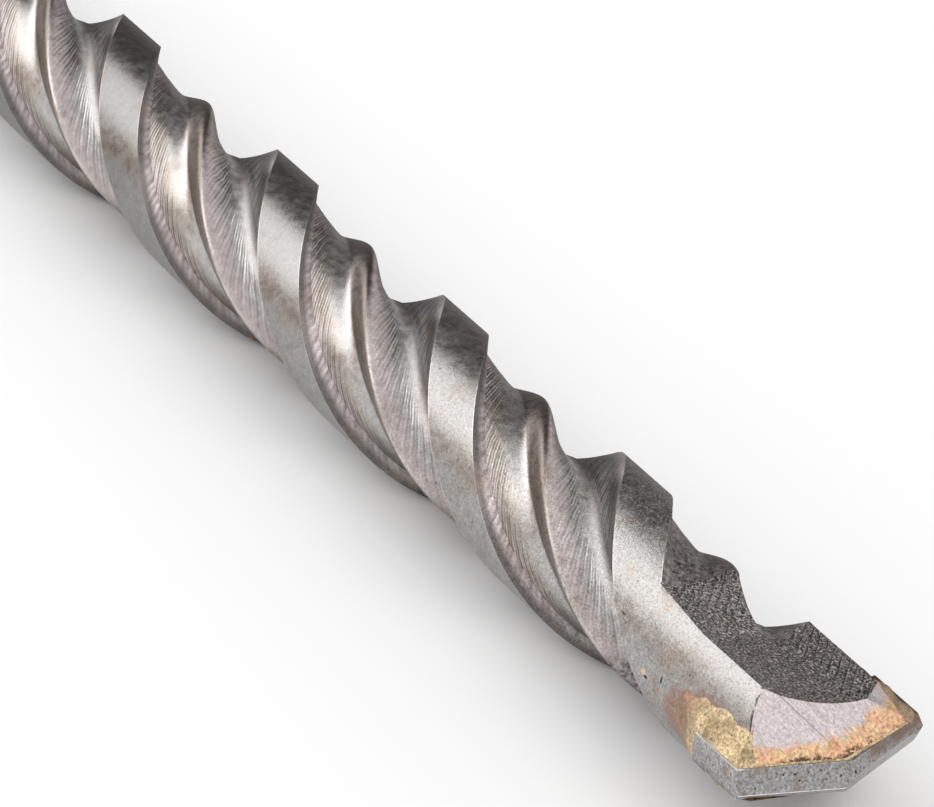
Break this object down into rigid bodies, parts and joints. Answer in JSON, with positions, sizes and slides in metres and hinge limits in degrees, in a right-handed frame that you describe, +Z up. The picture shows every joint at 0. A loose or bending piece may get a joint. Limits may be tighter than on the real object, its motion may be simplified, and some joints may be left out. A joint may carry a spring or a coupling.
{
  "type": "sds plus drill bit",
  "caption": "Masonry drill bit for a rotary hammer: a slotted quick-change shank, a steel body with helical flutes and a brazed carbide plate across the head.",
  "frame": {"origin": "middle of the shank's flat end face, on the bit's axis", "axes": "+X along the bit's axis towards the tip, +Y along the carbide plate, +Z up as the bit lies on a bench"},
  "size_m": [0.16, 0.012, 0.01],
  "materials": {
    "drill_body": "blasted, ground at the tip",
    "carbide_tip": "ground",
    "braze_joint": "satin"
  },
  "bodies": {
    "root": {"drill_body": "drill_body", "carbide_tip": "carbide_tip", "braze_joint": "braze_joint"}
  },
  "joints": []
}
